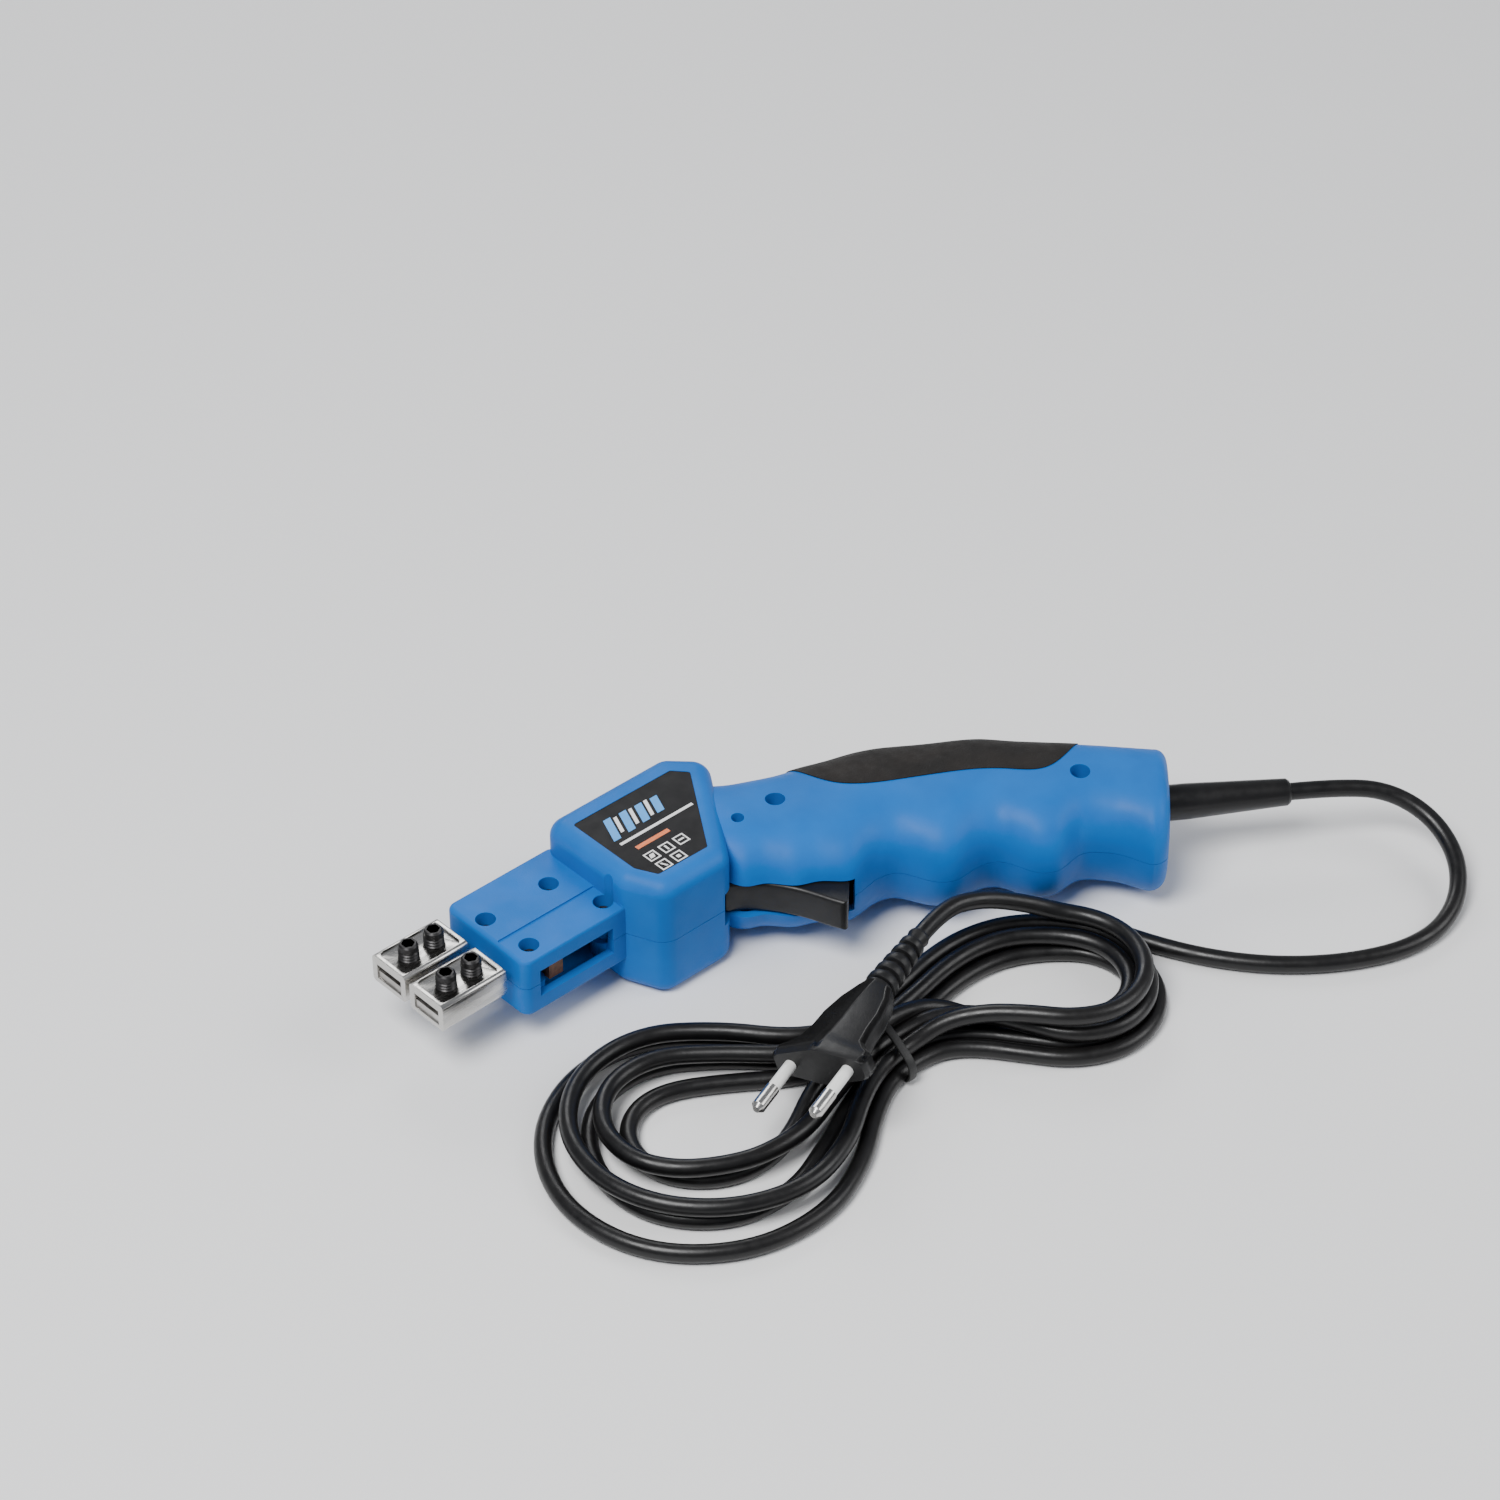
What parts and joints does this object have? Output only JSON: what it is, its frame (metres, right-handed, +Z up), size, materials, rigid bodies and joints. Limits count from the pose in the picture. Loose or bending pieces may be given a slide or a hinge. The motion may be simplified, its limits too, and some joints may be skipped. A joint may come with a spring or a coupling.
{
  "type": "electric hot knife",
  "caption": "Pistol-shaped electric hot cutter with a transformer box, twin blade clamps with set screws, sprung trigger, finger grooves, rubber inlay and a tied mains lead with a flat plug.",
  "frame": {"origin": "a point near the middle of the flat right face of the transformer box, on which the tool lies", "axes": "+X from the blade clamps to the tail, +Y towards the back of the handle, away from the trigger, +Z up through the tool, from its right side to its left"},
  "size_m": [0.2895, 0.1782, 0.04],
  "materials": {
    "housing_blue": "fine moulded grain",
    "grip_rubber": "matt",
    "label_black": "printed film",
    "trigger_black": "satin",
    "switch_black": "matt",
    "zinc_steel": "zinc plated",
    "dark_steel": "blackened",
    "core_steel": "laminated",
    "bobbin_nylon": "natural nylon",
    "enamelled_copper": "enamelled wire",
    "bar_copper": "plain copper",
    "insulator_brown": "laminate",
    "nickel_plate": "bright nickel",
    "black_oxide": "black oxide",
    "cord_black": "satin PVC",
    "tie_black": "satin",
    "sleeve_white": "satin",
    "wire_brown": "PVC",
    "wire_blue": "PVC"
  },
  "bodies": {
    "housing": {"left_shell": "housing_blue", "right_shell": "housing_blue", "grip_inlay_left": "grip_rubber", "grip_inlay_right": "grip_rubber", "rating_label": "label_black", "trigger_pin": "zinc_steel", "switch_body": "switch_black", "transformer_core": "core_steel", "coil_bobbins": "bobbin_nylon", "primary_windings": "enamelled_copper", "secondary_hairpin": "bar_copper", "bar_insulator": "insulator_brown", "blade_clamp_near": "nickel_plate", "blade_clamp_far": "nickel_plate", "nose_screws": "dark_steel", "handle_screws": "dark_steel", "neck_screw": "dark_steel", "cord_boot": "cord_black", "cord_clamp_bar": "switch_black", "cord_clamp_screws": "zinc_steel", "wire_line": "wire_brown", "wire_neutral": "wire_blue", "wire_switched": "wire_brown", "cord_inner": "cord_black", "cord_lead": "cord_black", "cord_hank": "cord_black", "cord_tie": "tie_black", "cord_plug_end": "cord_black", "plug_body": "cord_black", "plug_pins": "nickel_plate", "plug_sleeves": "sleeve_white"},
    "trigger": {"trigger": "trigger_black"},
    "plunger": {"switch_plunger": "switch_black"},
    "screw_near_front": {"set_screw_near_front": "black_oxide"},
    "screw_near_rear": {"set_screw_near_rear": "black_oxide"},
    "screw_far_front": {"set_screw_far_front": "black_oxide"},
    "screw_far_rear": {"set_screw_far_rear": "black_oxide"}
  },
  "joints": [
    {"name": "trigger_pull", "type": "hinge", "parent": "housing", "child": "trigger", "pos_m": [0.01315, -0.01718, 0.02], "axis": [0, 0, 1], "range_deg": [0, 7.5], "stiffness_Nm_per_rad": 0.8, "springref_deg": -4.58},
    {"name": "plunger_press", "type": "slide", "parent": "housing", "child": "plunger", "axis": [0.5635, 0.8261, 0], "range_m": [0, 0.0033]},
    {"name": "screw_near_front_slide", "type": "slide", "parent": "housing", "child": "screw_near_front", "axis": [0, 0, 1], "range_m": [-0.0011, 0.002]},
    {"name": "screw_near_rear_slide", "type": "slide", "parent": "housing", "child": "screw_near_rear", "axis": [0, 0, 1], "range_m": [-0.0011, 0.002]},
    {"name": "screw_far_front_slide", "type": "slide", "parent": "housing", "child": "screw_far_front", "axis": [0, 0, 1], "range_m": [-0.0011, 0.002]},
    {"name": "screw_far_rear_slide", "type": "slide", "parent": "housing", "child": "screw_far_rear", "axis": [0, 0, 1], "range_m": [-0.0011, 0.002]}
  ],
  "couplings": [
    {"joint": "plunger_press", "follows": "trigger_pull", "m_per_rad": 0.024}
  ]
}
